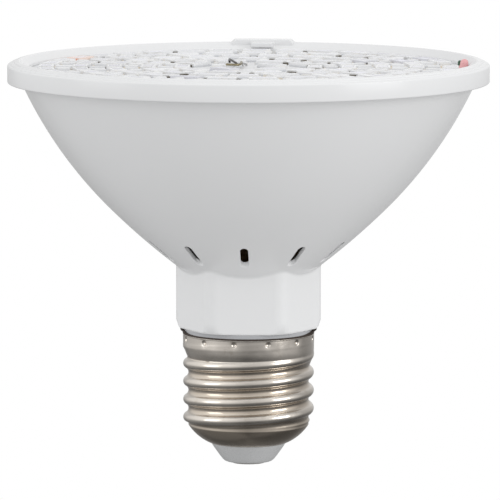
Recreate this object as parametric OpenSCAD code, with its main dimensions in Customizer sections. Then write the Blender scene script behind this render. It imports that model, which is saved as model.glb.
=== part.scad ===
// Screw-in LED reflector lamp for pool lighting: a flared white moulding on a
// six-sided neck, an E27 screw cap below and an open board of LEDs above,
// held by a front ring that clips over the rim. Millimetres, +Z up.
// The origin is the lowest point of the centre contact, on the lamp's axis.

/* [Screw cap] */
// Height of the cap from the centre contact to the top of its collar
cap_h = 26.3; // [24:0.1:28]
// Outside diameter of the plain collar above the thread
collar_d = 26.3; // [26.2:0.05:26.5]
// Diameter over the crests of the rolled thread
crest_d = 26.2; // [26.05:0.01:26.2]
// Diameter at the roots of the rolled thread
root_d = 24.1; // [23.9:0.05:24.3]
// Pitch of the thread
pitch = 3.629; // [3.5:0.001:3.8]
// Height of the middle crest on the right-hand side
crest_z = 14.65; // [14.2:0.05:15]
// Turn of the thread about the axis, degrees
thread_turn = 2.4; // [-180:0.1:180]
// Thickness of the plated sheet
sheet = 0.3; // [0.2:0.05:0.4]
// Number of crimping dents round the collar
dent_n = 12; // [6:1:16]
// Distance of the dents below the top of the collar
dent_drop = 1.05; // [0.9:0.05:1.3]
// Radius of the punch that makes a dent
dent_r = 0.6; // [0.4:0.05:0.7]
// Depth of a dent
dent_deep = 0.42; // [0.3:0.02:0.5]
// Diameter of the opening in the bottom of the shell
mouth_d = 15.4; // [14:0.1:17]
// Height of that opening above the centre contact
mouth_z = 4.1; // [3.6:0.1:4.8]
// Height of the domed bottom of the shell
dome_h = 4.2; // [3.8:0.1:4.8]
// Radius of the dome's section
dome_arc = 9.5; // [8.5:0.1:12]
// Length of the plain collar above the thread
collar_l = 2.5; // [2.2:0.1:3]
// How far the shell's lip flares out above the collar
flare_out = 0.6; // [0.3:0.05:0.7]

/* [Insulator and contact] */
// Diameter of the flat end of the insulator
tip_d = 8.8; // [8:0.1:9.2]
// How far the contact stands out of the insulator
contact_out = 0.3; // [0.1:0.05:0.5]
// Diameter of the centre contact
contact_d = 7.2; // [6:0.1:7.6]
// Thickness of the centre contact
contact_t = 0.6; // [0.4:0.1:1]
// Diameter of the contact's rivet stem
stem_d = 1.9; // [1.5:0.1:2.5]

/* [Housing] */
// Height of the neck's lower end above the collar
neck_gap = 1; // [0.6:0.1:1.4]
// Height from the top of the collar to the lower edge of the front ring
housing_h = 50.32; // [46:0.1:55]
// Width across the flats of the six-sided neck
neck_af = 26; // [25:0.1:27]
// Radius of the neck's upright corners
neck_corner = 3.4; // [1:0.1:4]
// Height of the turned chamfer at the neck's lower corners
neck_chamfer = 1.4; // [0.6:0.1:2]
// How far the chamfer goes in
chamfer_in = 0.6; // [0.4:0.05:0.9]
// How far the bowl stands in from the ring's outside, at the ring's lower edge
bowl_in = 2.8; // [2.4:0.05:3.2]
// Radius of the upper arc of the bowl's outline, in bowl radii
arc_hi_part = 1.8926; // [1.8:0.01:2]
// Radius of the lower arc of the bowl's outline, in bowl radii
arc_lo_part = 3.0939; // [2.8:0.01:3.4]
// Slope of the bowl's wall at the ring, degrees from upright
lip_slope = 24.61; // [22:0.1:27]
// Turn of the outline along the upper arc, degrees
arc_turn = 20.65; // [18:0.1:23]
// Wall thickness of the moulding
wall = 1.6; // [1.4:0.1:2]
// Wall of the neck at the middle of its flats
neck_wall = 1.7; // [1.5:0.1:2]
// Height of the guides for the driver board
rail_h = 15; // [10:0.5:18]
// Wall thickness at the bowl's foot, where the slots are
foot_wall = 0.9; // [0.8:0.1:1.2]
// Number of vent slots
slot_n = 11; // [6:1:14]
// Radius of the middle of the slots
slot_mid = 18.7; // [18.4:0.1:20]
// Length of a slot
slot_l = 5.1; // [3:0.1:5.4]
// Width of a slot
slot_w = 1.6; // [1.4:0.05:2]

/* [Front ring] */
// Outside diameter of the front ring
ring_d = 96.1; // [95:0.1:98]
// Height of the ring's upright outer wall
ring_wall = 3.53; // [3.2:0.05:4]
// Rise of the ring's sloped face above that wall
ring_rise = 0.85; // [0.6:0.05:1.2]
// How far the ring's crown stands in from its outside
crown_in = 2.45; // [2.2:0.05:2.7]
// How far the ring's window stands in from its outside
window_in = 4.15; // [4.0:0.05:4.4]
// Thickness of the ring's outer wall
ring_t = 1.2; // [1:0.1:1.4]
// Height of the snap bead under the rim
bead_h = 0.36; // [0.3:0.02:0.4]
// Width of the lug on the ring
lug_w = 13; // [10:0.5:16]
// Height of the lug above the crown
lug_h = 0.46; // [0.3:0.02:0.8]
// Turn of the lug from the back of the lamp, degrees
lug_turn = -1.3; // [-5:0.1:5]
// Width of the hook on the lug's inner side
hook_w = 4.6; // [3:0.1:6]

/* [LED board] */
// Distance of the board's face below the crown of the ring
board_drop = 2; // [1.8:0.1:2.4]
// Thickness of the board
board_t = 1.5; // [1:0.1:1.6]
// Length of an LED package, along its row
led_l = 5.7; // [5:0.1:6]
// Width of an LED package
led_w = 3; // [2.6:0.1:3.4]
// Height of an LED package
led_h = 0.8; // [0.6:0.1:0.9]
// Distance of the outer row of LEDs from the ring's window
row_edge = 3.5; // [3.4:0.05:4]
// Radius of the inner row of LEDs
row_last = 6.4; // [6:0.1:7]
// Room between the inner row and the next one, where the wires come up
joint_room = 6.8; // [6.6:0.1:7.2]
// Smallest distance from LED to LED along a row
led_pitch = 7.05; // [6.9:0.05:7.4]

/* [Wiring] */
// Diameter of the insulated board wires
wire_d = 1.4; // [1.2:0.1:1.5]
// Height of the bare wire ends' tips above the board
strand_up = 1.6; // [1.2:0.1:2.2]
// Diameter of their bare ends
strand_d = 0.6; // [0.5:0.1:0.8]
// Distance of the soldered ends behind the axis
joint_y = 9.2; // [9:0.1:9.8]
// Distance of the soldered ends to the left of the axis
joint_x = 2.9; // [2.5:0.1:3.2]
// Diameter of the red wire at the rim
rim_wire_d = 1.7; // [1.4:0.1:1.8]

/* [Driver] */
// Thickness of the driver board
pcb_t = 1.2; // [1:0.1:1.6]
// Distance of the driver board's edges from the bore
pcb_in = 1.1; // [1:0.1:1.6]
// Width of the board's tail inside the cap
tail_w = 15; // [12:0.5:17]
// Height of the driver board above the stops that it stands on
pcb_h = 29; // [27:0.5:32]
// Distance between parts on the driver board
part_gap = 2; // [1.6:0.1:2.2]
// Diameter of both electrolytic capacitors
can_d = 8; // [7:0.5:8]
// Height of the input capacitor
can_h = 12.5; // [10:0.5:14]

/* [Hidden] */
$fn = 96;
fine = 720;
eps = 0.02;
fit_gap = 0.15;
press_gap = 0.1;
collar_r = collar_d / 2;
crest_r = crest_d / 2;
root_r = root_d / 2;
collar_in = collar_r - sheet;
skirt_z = cap_h - collar_l;
spigot_z = skirt_z + 0.2;
dome_z = mouth_z + dome_h;
neck_z = cap_h + neck_gap;
flare_h = neck_gap - 0.3;
rim_z = cap_h + housing_h;
crown_z = rim_z + ring_wall + ring_rise;
face_z = crown_z - board_drop;
board_z = face_z - board_t;
lip_z = rim_z + bead_h + eps;
ring_r = ring_d / 2;
bowl_r = ring_r - bowl_in;
crown_r = ring_r - crown_in;
window_r = ring_r - window_in;
arc_hi = bowl_r * arc_hi_part;
arc_lo = bowl_r * arc_lo_part;
ring_in = ring_r - ring_t;
rim_r = ring_in - fit_gap;
seat_r = rim_r - 1.95;
board_r = seat_r - fit_gap;
bore_r = neck_af / 2 - neck_wall;
corner_r = (neck_af / 2 - neck_corner) / cos(30) + neck_corner;
spigot_r = collar_in - press_gap;
hi_x = bowl_r - arc_hi * cos(lip_slope);
hi_z = rim_z + arc_hi * sin(lip_slope);
join_a = lip_slope + arc_turn;
lo_x = hi_x + (arc_hi - arc_lo) * cos(join_a);
lo_z = hi_z - (arc_hi - arc_lo) * sin(join_a);
flank = (crest_r - root_r) / 2;
knuckle = (pitch * pitch / 16 + flank * flank) / (2 * flank);
mouth_r = mouth_d / 2;
tip_z = contact_out;
rail_z = spigot_z;
stop_z = rail_z + 1;
pcb_face = pcb_t / 2;
pcb_w = 2 * (bore_r - pcb_in);
pcb_top = stop_z + pcb_h;
tail_z = dome_z + 1.8;
row_n = 6;
row_r = window_r - row_edge;
row_step = (row_r - row_last - joint_room) / (row_n - 2);
joint_gap = 1.65 * wire_d;
rim_wire_a = 6;
rim_hole_r = row_r + 1.4;
green_wire_d = 0.7;
green_wire_a = 11.5;
green_wire_r = window_r - row_edge / 3.5;

// Height of the bowl's outside at a radius on its lower arc
function bowl_at(r) = lo_z - sqrt(arc_lo * arc_lo - pow(r - lo_x, 2));

// Outline of the bowl: two arcs that touch, both set in by the same amount
module half_plane(side) {
    translate([hi_x, hi_z]) rotate(-join_a)
        translate([-3 * arc_lo, side > 0 ? 0 : -3 * arc_lo]) square([6 * arc_lo, 3 * arc_lo]);
}

module bowl_outline(inset) {
    intersection() {
        translate([hi_x, hi_z]) circle(r = arc_hi - inset, $fn = fine);
        half_plane(1);
    }
    intersection() {
        translate([lo_x, lo_z]) circle(r = arc_lo - inset, $fn = fine);
        half_plane(-1);
    }
}

// Solid of the bowl between two heights, set in by an amount
module bowl_solid(inset, z0, z1) {
    rotate_extrude($fn = 180) intersection() {
        bowl_outline(inset);
        translate([0, z0]) square([ring_r, z1 - z0]);
    }
}

// Hexagon with rounded corners; its flats face the front and the back
module hexagon() {
    core = neck_af / 2 - neck_corner;
    side = 2 * core * tan(30);
    for (a = [0, 60, 120]) rotate(a) square([side, neck_af], center = true);
    for (a = [0:60:300]) rotate(a) translate([core / cos(30), 0]) circle(r = neck_corner, $fn = 48);
}

module hex_prism(z0, z1) {
    translate([0, 0, z0]) linear_extrude(z1 - z0) hexagon();
}

module slots() {
    mid = (slot_l - slot_w) / 2;
    for (k = [0:slot_n - 1]) rotate(-90 + 360 * k / slot_n)
        translate([slot_mid, 0, bowl_at(slot_mid - slot_l / 2) - 1])
            linear_extrude(slot_l * 1.3 + 2 * foot_wall + 2) {
            square([2 * mid, slot_w], center = true);
            for (s = [-1, 1]) translate([s * mid, 0]) circle(d = slot_w, $fn = 32);
        }
}

// Balls set round the collar, for the dents and for the bulges behind them
module dent_balls(extra) {
    for (k = [0:dent_n - 1]) rotate(-90 - 13.4 + 360 * k / dent_n)
        translate([collar_r - dent_deep + dent_r, 0, cap_h - dent_drop])
            sphere(r = dent_r + extra, $fn = 32);
}

// Guides that take the edges of the driver board inside the neck
module rails() {
    difference() {
        intersection() {
            for (s = [-1, 1]) translate([s * (bore_r - 1) - wall, -pcb_face - wall, rail_z])
                cube([2 * wall, pcb_t + 2 * wall, rail_h]);
            cylinder(r = bore_r + 0.4, h = rim_z);
        }
        translate([-pcb_w / 2 - eps, -pcb_face - eps, stop_z])
            cube([pcb_w + 2 * eps, pcb_t + 2 * eps, rail_h * 2]);
    }
}

module housing() {
    color([0.9, 0.9, 0.91]) {
        difference() {
            union() {
                bowl_solid(0, bowl_at(bore_r) - 1, lip_z);
                translate([0, 0, lip_z]) cylinder(r = rim_r, h = face_z - lip_z, $fn = 180);
                intersection() {
                    hex_prism(neck_z, bowl_at(corner_r) + wall);
                    translate([0, 0, neck_z]) cylinder(h = housing_h,
                        r1 = corner_r - chamfer_in,
                        r2 = corner_r - chamfer_in + housing_h * chamfer_in / neck_chamfer);
                }
                translate([0, 0, spigot_z]) cylinder(r = spigot_r, h = neck_z - spigot_z + 1);
            }
            bowl_solid(wall, bowl_at(bore_r) - 0.5, board_z + eps);
            rotate_extrude($fn = 180) intersection() {
                bowl_outline(foot_wall);
                translate([0, bowl_at(bore_r) - 0.5])
                    square([slot_mid + slot_l / 2 + 2, 3 * slot_l]);
            }
            translate([0, 0, board_z]) cylinder(r = seat_r, h = board_t + 1, $fn = 180);
            translate([0, 0, spigot_z - 1]) cylinder(r = bore_r, h = bowl_at(bore_r) + 2 * wall - spigot_z + 2);
            slots();
            dent_balls(sheet + eps);
        }
        rails();
    }
}

// Section of the ring: outer wall, sloped face, window edge, snap bead
module ring_section() {
    shoulder_z = rim_z + ring_wall;
    polygon([
        [ring_r - 0.25, rim_z],
        [ring_r, rim_z + 0.25],
        [ring_r, shoulder_z - 0.2],
        [ring_r - 0.3, shoulder_z + 0.1],
        [crown_r + 0.4, crown_z - 0.1],
        [crown_r, crown_z],
        [crown_r - 0.4, crown_z - 0.08],
        [window_r, face_z + 0.6],
        [window_r, face_z],
        [ring_in, face_z],
        [ring_in, lip_z - eps],
        [rim_r - 0.45, lip_z - eps],
        [rim_r - 0.45, rim_z + 0.1],
        [rim_r - 0.35, rim_z]]);
}

module front_ring() {
    color([0.96, 0.96, 0.97]) {
        rotate_extrude($fn = 180) ring_section();
        rotate(lug_turn) {
            intersection() {
                translate([0, ring_r + 2, 0]) rotate([90, 0, 0]) linear_extrude(6)
                    polygon([
                        [-lug_w / 2, crown_z - 0.7],
                        [lug_w / 2, crown_z - 0.7],
                        [lug_w / 2 - 0.7, crown_z + lug_h],
                        [-lug_w / 2 + 0.7, crown_z + lug_h]]);
                difference() {
                    cylinder(r = ring_r - 0.35, h = crown_z + 5, $fn = 180);
                    cylinder(r = crown_r - 0.9, h = crown_z + 5, $fn = 180);
                }
            }
            translate([-hook_w / 2, crown_r - 2.6, crown_z - 1.1])
                cube([hook_w, 2.4, 1.05]);
        }
    }
}

// Rolled thread: radius of the knuckle profile at a height from its crest.
// Two arcs of one radius meet on the flank; a sheet offset moves both inwards.
function wrap(h) = h - pitch * round(h / pitch);
function knuckle_r(h, t) =
    let (a = abs(wrap(h)), turn_h = pitch / 4 * (1 - t / knuckle))
    a < turn_h
        ? crest_r - knuckle + sqrt(pow(knuckle - t, 2) - a * a)
        : root_r + knuckle - sqrt(pow(knuckle + t, 2) - pow(pitch / 2 - a, 2));

// Height from the crest line at an angle, and the edge of the collar above it
function over_crest(z, a) = z - crest_z - pitch * (a - thread_turn) / 360;
function camera_a(a) = let (b = a - thread_turn) b - 360 * round(b / 360);
function skirt_edge(a) = skirt_z - (1 - abs(camera_a(a)) / 180) * pitch / 2;
function skirt_r(z, a, t) =
    crest_r - t - 0.33 * max(0, skirt_edge(a) - z) - 0.03 * pow(max(0, skirt_edge(a) - z), 2);
function shell_r(z, a, t) = max(knuckle_r(over_crest(z, a), t), skirt_r(z, a, t * 1.4));

thread_cols = 48;
thread_rows = 41;
thread_lo = dome_z;
thread_hi = skirt_z;
function row_z(k) =
    k == 0 ? thread_lo - 0.35 :
    k == thread_rows ? thread_hi + 0.4 :
    thread_lo + (thread_hi - thread_lo) * (k - 1) / (thread_rows - 2);
function row_out(k, a) =
    k == 0 ? root_r - 0.1 :
    k == thread_rows ? collar_r - 0.08 :
    max(root_r + 0.04, shell_r(row_z(k), a, 0));
function row_in(k, a) =
    k == 0 ? root_r - sheet + 0.1 :
    k == thread_rows ? collar_in + 0.08 :
    k == thread_rows - 1 ? collar_in - 0.08 :
    k == 1 ? root_r - sheet - 0.06 :
    min(collar_in - 0.06, max(root_r - sheet - 0.04, shell_r(row_z(k), a, sheet)));

module rolled_thread() {
    n = thread_cols;
    m = thread_rows + 1;
    outer = [for (k = [0:m - 1]) for (j = [0:n - 1])
        let (a = 360 * j / n, r = row_out(k, a)) [r * cos(a), r * sin(a), row_z(k)]];
    inner = [for (k = [0:m - 1]) for (j = [0:n - 1])
        let (a = 360 * j / n, r = row_in(k, a)) [r * cos(a), r * sin(a), row_z(k)]];
    side = [for (k = [0:m - 2]) for (j = [0:n - 1])
        let (p = k * n + j, q = k * n + (j + 1) % n) each [[p, q, q + n], [p, q + n, p + n]]];
    base = m * n;
    core = [for (f = side) [f[2] + base, f[1] + base, f[0] + base]];
    ends = [for (j = [0:n - 1])
        let (q = (j + 1) % n, top = (m - 1) * n)
        each [[q, j, base + j], [q, base + j, base + q],
              [top + j, top + q, base + top + j], [top + q, base + top + q, base + top + j]]];
    polyhedron(points = concat(outer, inner),
        faces = [for (f = concat(side, core, ends)) [f[2], f[1], f[0]]], convexity = 6);
}

// Section of the shell's bottom: a short cylinder that turns in to the mouth
dome_mid = [(root_r + mouth_r) / 2, (dome_z - 0.6 + mouth_z) / 2];
dome_gap = norm([root_r - mouth_r, dome_z - 0.6 - mouth_z]);
dome_c = dome_mid + sqrt(dome_arc * dome_arc - dome_gap * dome_gap / 4) / dome_gap
    * [-(dome_z - 0.6 - mouth_z), root_r - mouth_r];

module dome_section(inset) {
    intersection() {
        translate(dome_c) circle(r = dome_arc - inset, $fn = 240);
        translate([0, mouth_z]) square([root_r - inset, dome_z - 0.6 - mouth_z]);
    }
    translate([0, dome_z - 0.65]) square([root_r - inset, 0.65]);
}

module screw_shell() {
    color([0.72, 0.69, 0.64]) difference() {
        union() {
            rolled_thread();
            rotate_extrude($fn = 96) difference() {
                dome_section(0);
                dome_section(sheet);
                square([mouth_r - 0.2, dome_z]);
            }
            rotate_extrude($fn = 96) polygon([
                [collar_in, skirt_z - 0.06], [collar_r, skirt_z - 0.06], [collar_r, cap_h - 0.1],
                [collar_r + 0.5 * flare_out, cap_h + 0.25 * flare_h],
                [collar_r + 0.58 * flare_out, cap_h + 0.6 * flare_h],
                [collar_r + flare_out, cap_h + flare_h],
                [collar_r + flare_out - sheet, cap_h + flare_h],
                [collar_r + 0.58 * flare_out - sheet, cap_h + 0.65 * flare_h],
                [collar_r + 0.5 * flare_out - sheet, cap_h + 0.35 * flare_h],
                [collar_in, cap_h]]);
            intersection() {
                dent_balls(sheet);
                cylinder(r = collar_r - 0.12, h = cap_h);
            }
        }
        dent_balls(0);
    }
}

// Cone outside the mouth, a plug behind it and a recess for the contact
module cap_insulator() {
    color([0.84, 0.87, 0.9]) difference() {
        union() {
            rotate_extrude($fn = 96) {
                polygon([
                    [0, tip_z], [tip_d / 2, tip_z], [tip_d / 2 + 0.3, tip_z + 0.1],
                    [tip_d / 2 + 0.6, tip_z + 0.3], [tip_d / 2 + 0.9, tip_z + 0.6],
                    [tip_d / 2 + 1.35, tip_z + 1.15], [tip_d / 2 + 2.1, tip_z + 2.2],
                    [mouth_r - 0.2, mouth_z], [0, mouth_z]]);
            }
            rotate_extrude($fn = 96) intersection() {
                dome_section(sheet + eps);
                translate([0, mouth_z - 0.01]) square([20, 1.8]);
            }
        }
        translate([0, 0, -1]) cylinder(d = contact_d + 0.04, h = 1 + contact_t);
        cylinder(d = stem_d + 0.04, h = 20, $fn = 32);
    }
}

module centre_contact() {
    color([0.7, 0.68, 0.64]) {
        rotate_extrude($fn = 64) polygon([
            [0, 0], [contact_d / 2 - 0.25, 0], [contact_d / 2, 0.15],
            [contact_d / 2, contact_t], [0, contact_t]]);
        cylinder(d = stem_d, h = mouth_z + 1.8, $fn = 32);
        translate([0, 0, mouth_z + 1.79]) cylinder(d = stem_d + 1.2, h = 0.5, $fn = 32);
    }
}

module led_board() {
    color([0.93, 0.93, 0.92]) difference() {
        translate([0, 0, board_z]) cylinder(r = board_r, h = board_t, $fn = 180);
        for (s = [-1, 1]) translate([-joint_x - s * joint_gap / 2, joint_y - s * 0.4, board_z - 1])
            cylinder(d = wire_d + 0.1, h = board_t + 2, $fn = 32);
        rotate(rim_wire_a) translate([rim_hole_r, 0, board_z - 1])
            cylinder(d = rim_wire_d + 0.5, h = board_t + 2, $fn = 32);
        rotate(green_wire_a) translate([green_wire_r, 0, board_z - 1])
            cylinder(d = green_wire_d + 0.1, h = board_t + 2, $fn = 32);
    }
}

module led_row(k) {
    r = k == row_n ? row_last : row_r - (k - 1) * row_step;
    n = 2 * floor(PI * r / led_pitch);
    color([0.88, 0.87, 0.9]) for (j = [0:n - 1])
        if (!(k == 1 && j == 1)) rotate(360 * j / n)
            translate([r - led_w / 2, -led_l / 2, face_z]) cube([led_w, led_l, led_h]);
}

module led_row_1() { led_row(1); }

module led_row_2() { led_row(2); }

module led_row_3() { led_row(3); }

module led_row_4() { led_row(4); }

module led_row_5() { led_row(5); }

module led_row_6() { rotate(45) led_row(6); }

// A round rod from one point to another
module rod(p, q, d) {
    v = q - p;
    translate(p) rotate([0, acos(v[2] / norm(v)), atan2(v[1], v[0])])
        cylinder(d = d, h = norm(v), $fn = 24);
}

// A wire along points: rods with a slightly larger ball at each bend
module wire(path, d) {
    for (k = [0:len(path) - 2]) rod(path[k], path[k + 1], d);
    if (len(path) > 2) for (k = [1:len(path) - 2])
        translate(path[k]) sphere(d = d + 0.12, $fn = 24);
}

// side 1 is the wire that comes up on the left, -1 the one on the right
module board_wire(side) {
    x = -joint_x - side * joint_gap / 2;
    y = joint_y - side * 0.4;
    wire([[-side * 5, 0, pcb_top + 0.3 * wire_d],
        [x, y, face_z - 6 * wire_d],
        [x, y, face_z]], wire_d);
    wire([[x, y, face_z - 0.2],
        [x, y, face_z + 0.3],
        [-joint_x + side * joint_gap / 2, y, face_z + strand_up]], strand_d);
}

module plus_wire() {
    color([0.7, 0.12, 0.1]) board_wire(1);
}

module minus_wire() {
    color([0.1, 0.1, 0.1]) board_wire(-1);
}

module wire_solder() {
    color([0.6, 0.6, 0.6]) difference() {
        for (s = [-1, 1]) translate([-joint_x - s * joint_gap / 2, joint_y - s * 0.4, face_z - 0.5])
            intersection() {
                sphere(r = 1.05, $fn = 32);
                translate([-2, -2, 0.5]) cube([4, 4, 2]);
            }
        for (s = [-1, 1]) {
            x = -joint_x - s * joint_gap / 2;
            y = joint_y - s * 0.4;
            wire([[x, y, face_z - 0.6],
                [x, y, face_z + 0.3],
                [-joint_x + s * joint_gap / 2, y, face_z + strand_up]], strand_d + eps);
        }
    }
}

module rim_wire_red() {
    end_r = window_r - rim_wire_d / 2 + 0.15;
    end = [end_r, 0, face_z + 0.7 * rim_wire_d];
    color([0.9, 0.55, 0.55]) rotate(rim_wire_a) {
        wire([[rim_hole_r - 0.7, 0, board_z - 4], [rim_hole_r + 0.15, 0, face_z], end], rim_wire_d);
        translate(end) sphere(d = rim_wire_d + 0.06, $fn = 24);
    }
}

module rim_wire_green() {
    d = green_wire_d;
    rotate(green_wire_a) translate([green_wire_r, 0, 0]) color([0.1, 0.25, 0.15]) {
        translate([0, 0, board_z - 1]) cylinder(d = d, h = board_t + 2, $fn = 32);
        translate([0, 0, face_z + 1]) sphere(d = d + 0.06, $fn = 32);
    }
}

module driver_board() {
    color([0.42, 0.27, 0.14]) translate([0, pcb_face, 0]) rotate([90, 0, 0])
        linear_extrude(pcb_t) polygon([
            [-tail_w / 2, tail_z], [tail_w / 2, tail_z], [tail_w / 2, stop_z],
            [pcb_w / 2, stop_z], [pcb_w / 2, pcb_top], [-pcb_w / 2, pcb_top],
            [-pcb_w / 2, stop_z], [-tail_w / 2, stop_z]]);
}

// An aluminium can with its seam groove, standing along the board
module can(x, z, h) {
    translate([x, pcb_face + can_d / 2, z]) rotate_extrude($fn = 64) polygon([
        [0, 0], [can_d / 2 - 0.3, 0], [can_d / 2, 0.3], [can_d / 2, 1.2],
        [can_d / 2 - 0.35, 1.5], [can_d / 2 - 0.35, 1.8], [can_d / 2, 2.1],
        [can_d / 2, h - 0.3], [can_d / 2 - 0.3, h], [0, h]]);
}

module input_capacitor() {
    color([0.15, 0.16, 0.2]) can(-can_d / 2 - part_gap / 5, pcb_top - can_h - part_gap, can_h);
}

module output_capacitor() {
    color([0.15, 0.16, 0.2]) can(can_d / 2 + part_gap / 5, pcb_top - can_h - part_gap / 2, can_h - part_gap / 2);
}

module film_capacitor() {
    size = [pcb_w / 2, pcb_w / 4, pcb_h - can_h - 3.75 * part_gap];
    color([0.75, 0.6, 0.2]) translate([-size[0] / 2, pcb_face, stop_z + 2 * part_gap])
        cube(size);
}

module choke() {
    r = 3.6;
    color([0.25, 0.25, 0.26]) translate([0, pcb_face + r, tail_z + 1]) {
        cylinder(r = r, h = 1.2, $fn = 48);
        translate([0, 0, 1.1]) cylinder(r = r - 0.7, h = 7.8, $fn = 48);
        translate([0, 0, 8.8]) cylinder(r = r, h = 1.2, $fn = 48);
    }
}

module bridge_rectifier() {
    color([0.13, 0.13, 0.14]) translate([-3.3, -pcb_face - 2.4, stop_z - 7]) cube([6.6, 2.4, 4.8]);
}

module driver_chip() {
    color([0.13, 0.13, 0.14]) translate([-2.5, -pcb_face - 1.5, pcb_top - 9]) cube([5, 1.5, 4]);
}

module fuse_resistor() {
    color([0.55, 0.7, 0.75]) translate([4, -pcb_face - 1.5, stop_z + 2]) {
        translate([0, 0, 1.6]) cylinder(d = 3, h = 6, $fn = 32);
        for (z = [0.8, 7.6]) translate([0, 0, z]) cylinder(d = 2.4, h = 0.85, $fn = 32);
        for (z = [0, 8.4]) translate([0, 0, z]) cylinder(d = 0.7, h = 0.85, $fn = 24);
    }
}

module live_lead() {
    d = 1.2;
    color([0.75, 0.1, 0.1]) wire([
        [0, 0, mouth_z + 2.3],
        [0, 0, mouth_z + 3.2],
        [3, -pcb_face - d / 2, tail_z - 0.8],
        [3, -pcb_face - d / 2, tail_z + 3]], d);
}

module neutral_lead() {
    d = 1.2;
    color([0.12, 0.12, 0.12]) wire([
        [2.5 - tail_w / 2, -pcb_face - d / 2, tail_z + 4 * d],
        [2.3 - tail_w / 2, -pcb_face - d / 2, tail_z + 2],
        [-root_r + sheet + d / 2 + 0.15, -pcb_t - 0.4, tail_z + 3.3 * d]], d);
}

housing();
front_ring();
screw_shell();
cap_insulator();
centre_contact();
led_board();
led_row_1();
led_row_2();
led_row_3();
led_row_4();
led_row_5();
led_row_6();
plus_wire();
minus_wire();
wire_solder();
rim_wire_red();
rim_wire_green();
driver_board();
input_capacitor();
output_capacitor();
film_capacitor();
choke();
bridge_rectifier();
driver_chip();
fuse_resistor();
live_lead();
neutral_lead();
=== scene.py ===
import math

import bmesh
import bpy
import numpy as np
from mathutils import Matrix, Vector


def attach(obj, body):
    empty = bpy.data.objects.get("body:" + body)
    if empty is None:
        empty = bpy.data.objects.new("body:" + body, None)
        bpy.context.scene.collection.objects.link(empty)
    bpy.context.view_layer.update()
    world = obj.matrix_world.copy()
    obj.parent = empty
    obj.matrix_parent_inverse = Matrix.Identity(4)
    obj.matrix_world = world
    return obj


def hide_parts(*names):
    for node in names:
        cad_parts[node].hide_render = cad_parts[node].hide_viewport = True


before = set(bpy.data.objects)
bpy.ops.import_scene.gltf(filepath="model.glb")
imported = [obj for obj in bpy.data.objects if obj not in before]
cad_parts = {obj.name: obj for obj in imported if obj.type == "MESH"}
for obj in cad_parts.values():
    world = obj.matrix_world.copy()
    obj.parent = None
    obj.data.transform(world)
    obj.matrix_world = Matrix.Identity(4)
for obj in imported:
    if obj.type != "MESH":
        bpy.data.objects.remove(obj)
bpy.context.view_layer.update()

# The housing is one glossy white moulding. A flared bowl stands on a six-sided neck, and eleven
# vent slots with round ends run round the bowl's thin foot. Under the neck a short round flange
# and a spigot go into the cap. Lengths are in mm.
MM = 0.001
rim_z, bowl_r, wall = 76.62, 45.25, 1.6
upper_arc, lower_arc = 85.64, 140.0
lip_turn, join_turn = math.radians(24.61), math.radians(45.26)
upper_x = bowl_r - upper_arc * math.cos(lip_turn)
upper_z = rim_z + upper_arc * math.sin(lip_turn)
lower_x = upper_x + (upper_arc - lower_arc) * math.cos(join_turn)
lower_z = upper_z - (upper_arc - lower_arc) * math.sin(join_turn)
half_flats, corner_r = 13.0, 3.4
neck_z, spigot_z, flange_r = 27.3, 24.0, 12.98
cone_r, cone_rise = 13.88, 0.4286
bore_r, spigot_r = 11.3, 12.75
slot_count, slot_mid, slot_long, slot_wide = 11, 18.7, 5.1, 1.6
foot_wall, foot_r = 0.9, 23.25
band_in, band_out = 15.5, 22.6
board_z, face_z, lip_z = 77.5, 79.0, 77.0
slot_steps = 32
around = np.radians(np.arange(slot_count * slot_steps) * 360 / (slot_count * slot_steps) - 90)


def bowl_height(r, inset=0.0):
    """Height of the bowl's wall at radius r, set in by inset. The outline is two arcs that touch:
    each height is the arc's centre height less the root of arc radius squared less the squared
    distance from the arc's centre."""
    join = upper_x + (upper_arc - inset) * math.cos(join_turn)
    low = lower_z - np.sqrt((lower_arc - inset) ** 2 - (np.minimum(r, join) - lower_x) ** 2)
    high = upper_z - np.sqrt((upper_arc - inset) ** 2 - (np.maximum(r, join) - upper_x) ** 2)
    return np.where(r < join, low, high)


def bowl_radius(z, inset=0.0):
    """Radius of the upper arc of the bowl's wall at a height."""
    return upper_x + math.sqrt((upper_arc - inset) ** 2 - (upper_z - z) ** 2)


def neck_radius(a):
    """Distance from the axis to the neck in direction a: half its width over the cosine of the
    turn from the nearest flat, and past the flat's end a circle of the corner radius."""
    turn = np.abs((a + math.pi / 2 + math.pi / 6) % (math.pi / 3) - math.pi / 6)
    off = math.pi / 6 - turn
    core = (half_flats - corner_r) / math.cos(math.pi / 6)
    rounded = core * np.cos(off) + np.sqrt(np.maximum(corner_r ** 2 - (core * np.sin(off)) ** 2, 0))
    on_flat = half_flats * np.tan(turn) < (half_flats - corner_r) * math.tan(math.pi / 6)
    return np.where(on_flat, half_flats / np.cos(turn), rounded)


def closed_round(rows, columns):
    """Four-sided faces of a grid whose columns close into a ring: each joins a point, its
    neighbour round the ring and the two points a row further on."""
    i, j = np.meshgrid(np.arange(rows - 1), np.arange(columns), indexing="ij")
    k = (j + 1) % columns
    return np.stack([i * columns + j, i * columns + k, (i + 1) * columns + k,
                     (i + 1) * columns + j], axis=-1).reshape(-1, 4)


def closed_tube(rows, columns):
    """Faces of the same grid, with one more over each end."""
    return (closed_round(rows, columns).tolist()
            + [list(range(columns)), list(range((rows - 1) * columns, rows * columns))])


def turned(profile, angles=around):
    """Points and faces of a turned surface: each row is (r, z), numbers or one value per angle. A
    point's x is r times the cosine of its angle, and its y is r times the sine."""
    r = np.stack([np.broadcast_to(p[0], angles.shape) for p in profile])
    z = np.stack([np.broadcast_to(p[1], angles.shape) for p in profile])
    grid = np.stack([r * np.cos(angles), r * np.sin(angles), z], axis=-1)
    return grid, closed_round(len(profile), len(angles))


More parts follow.
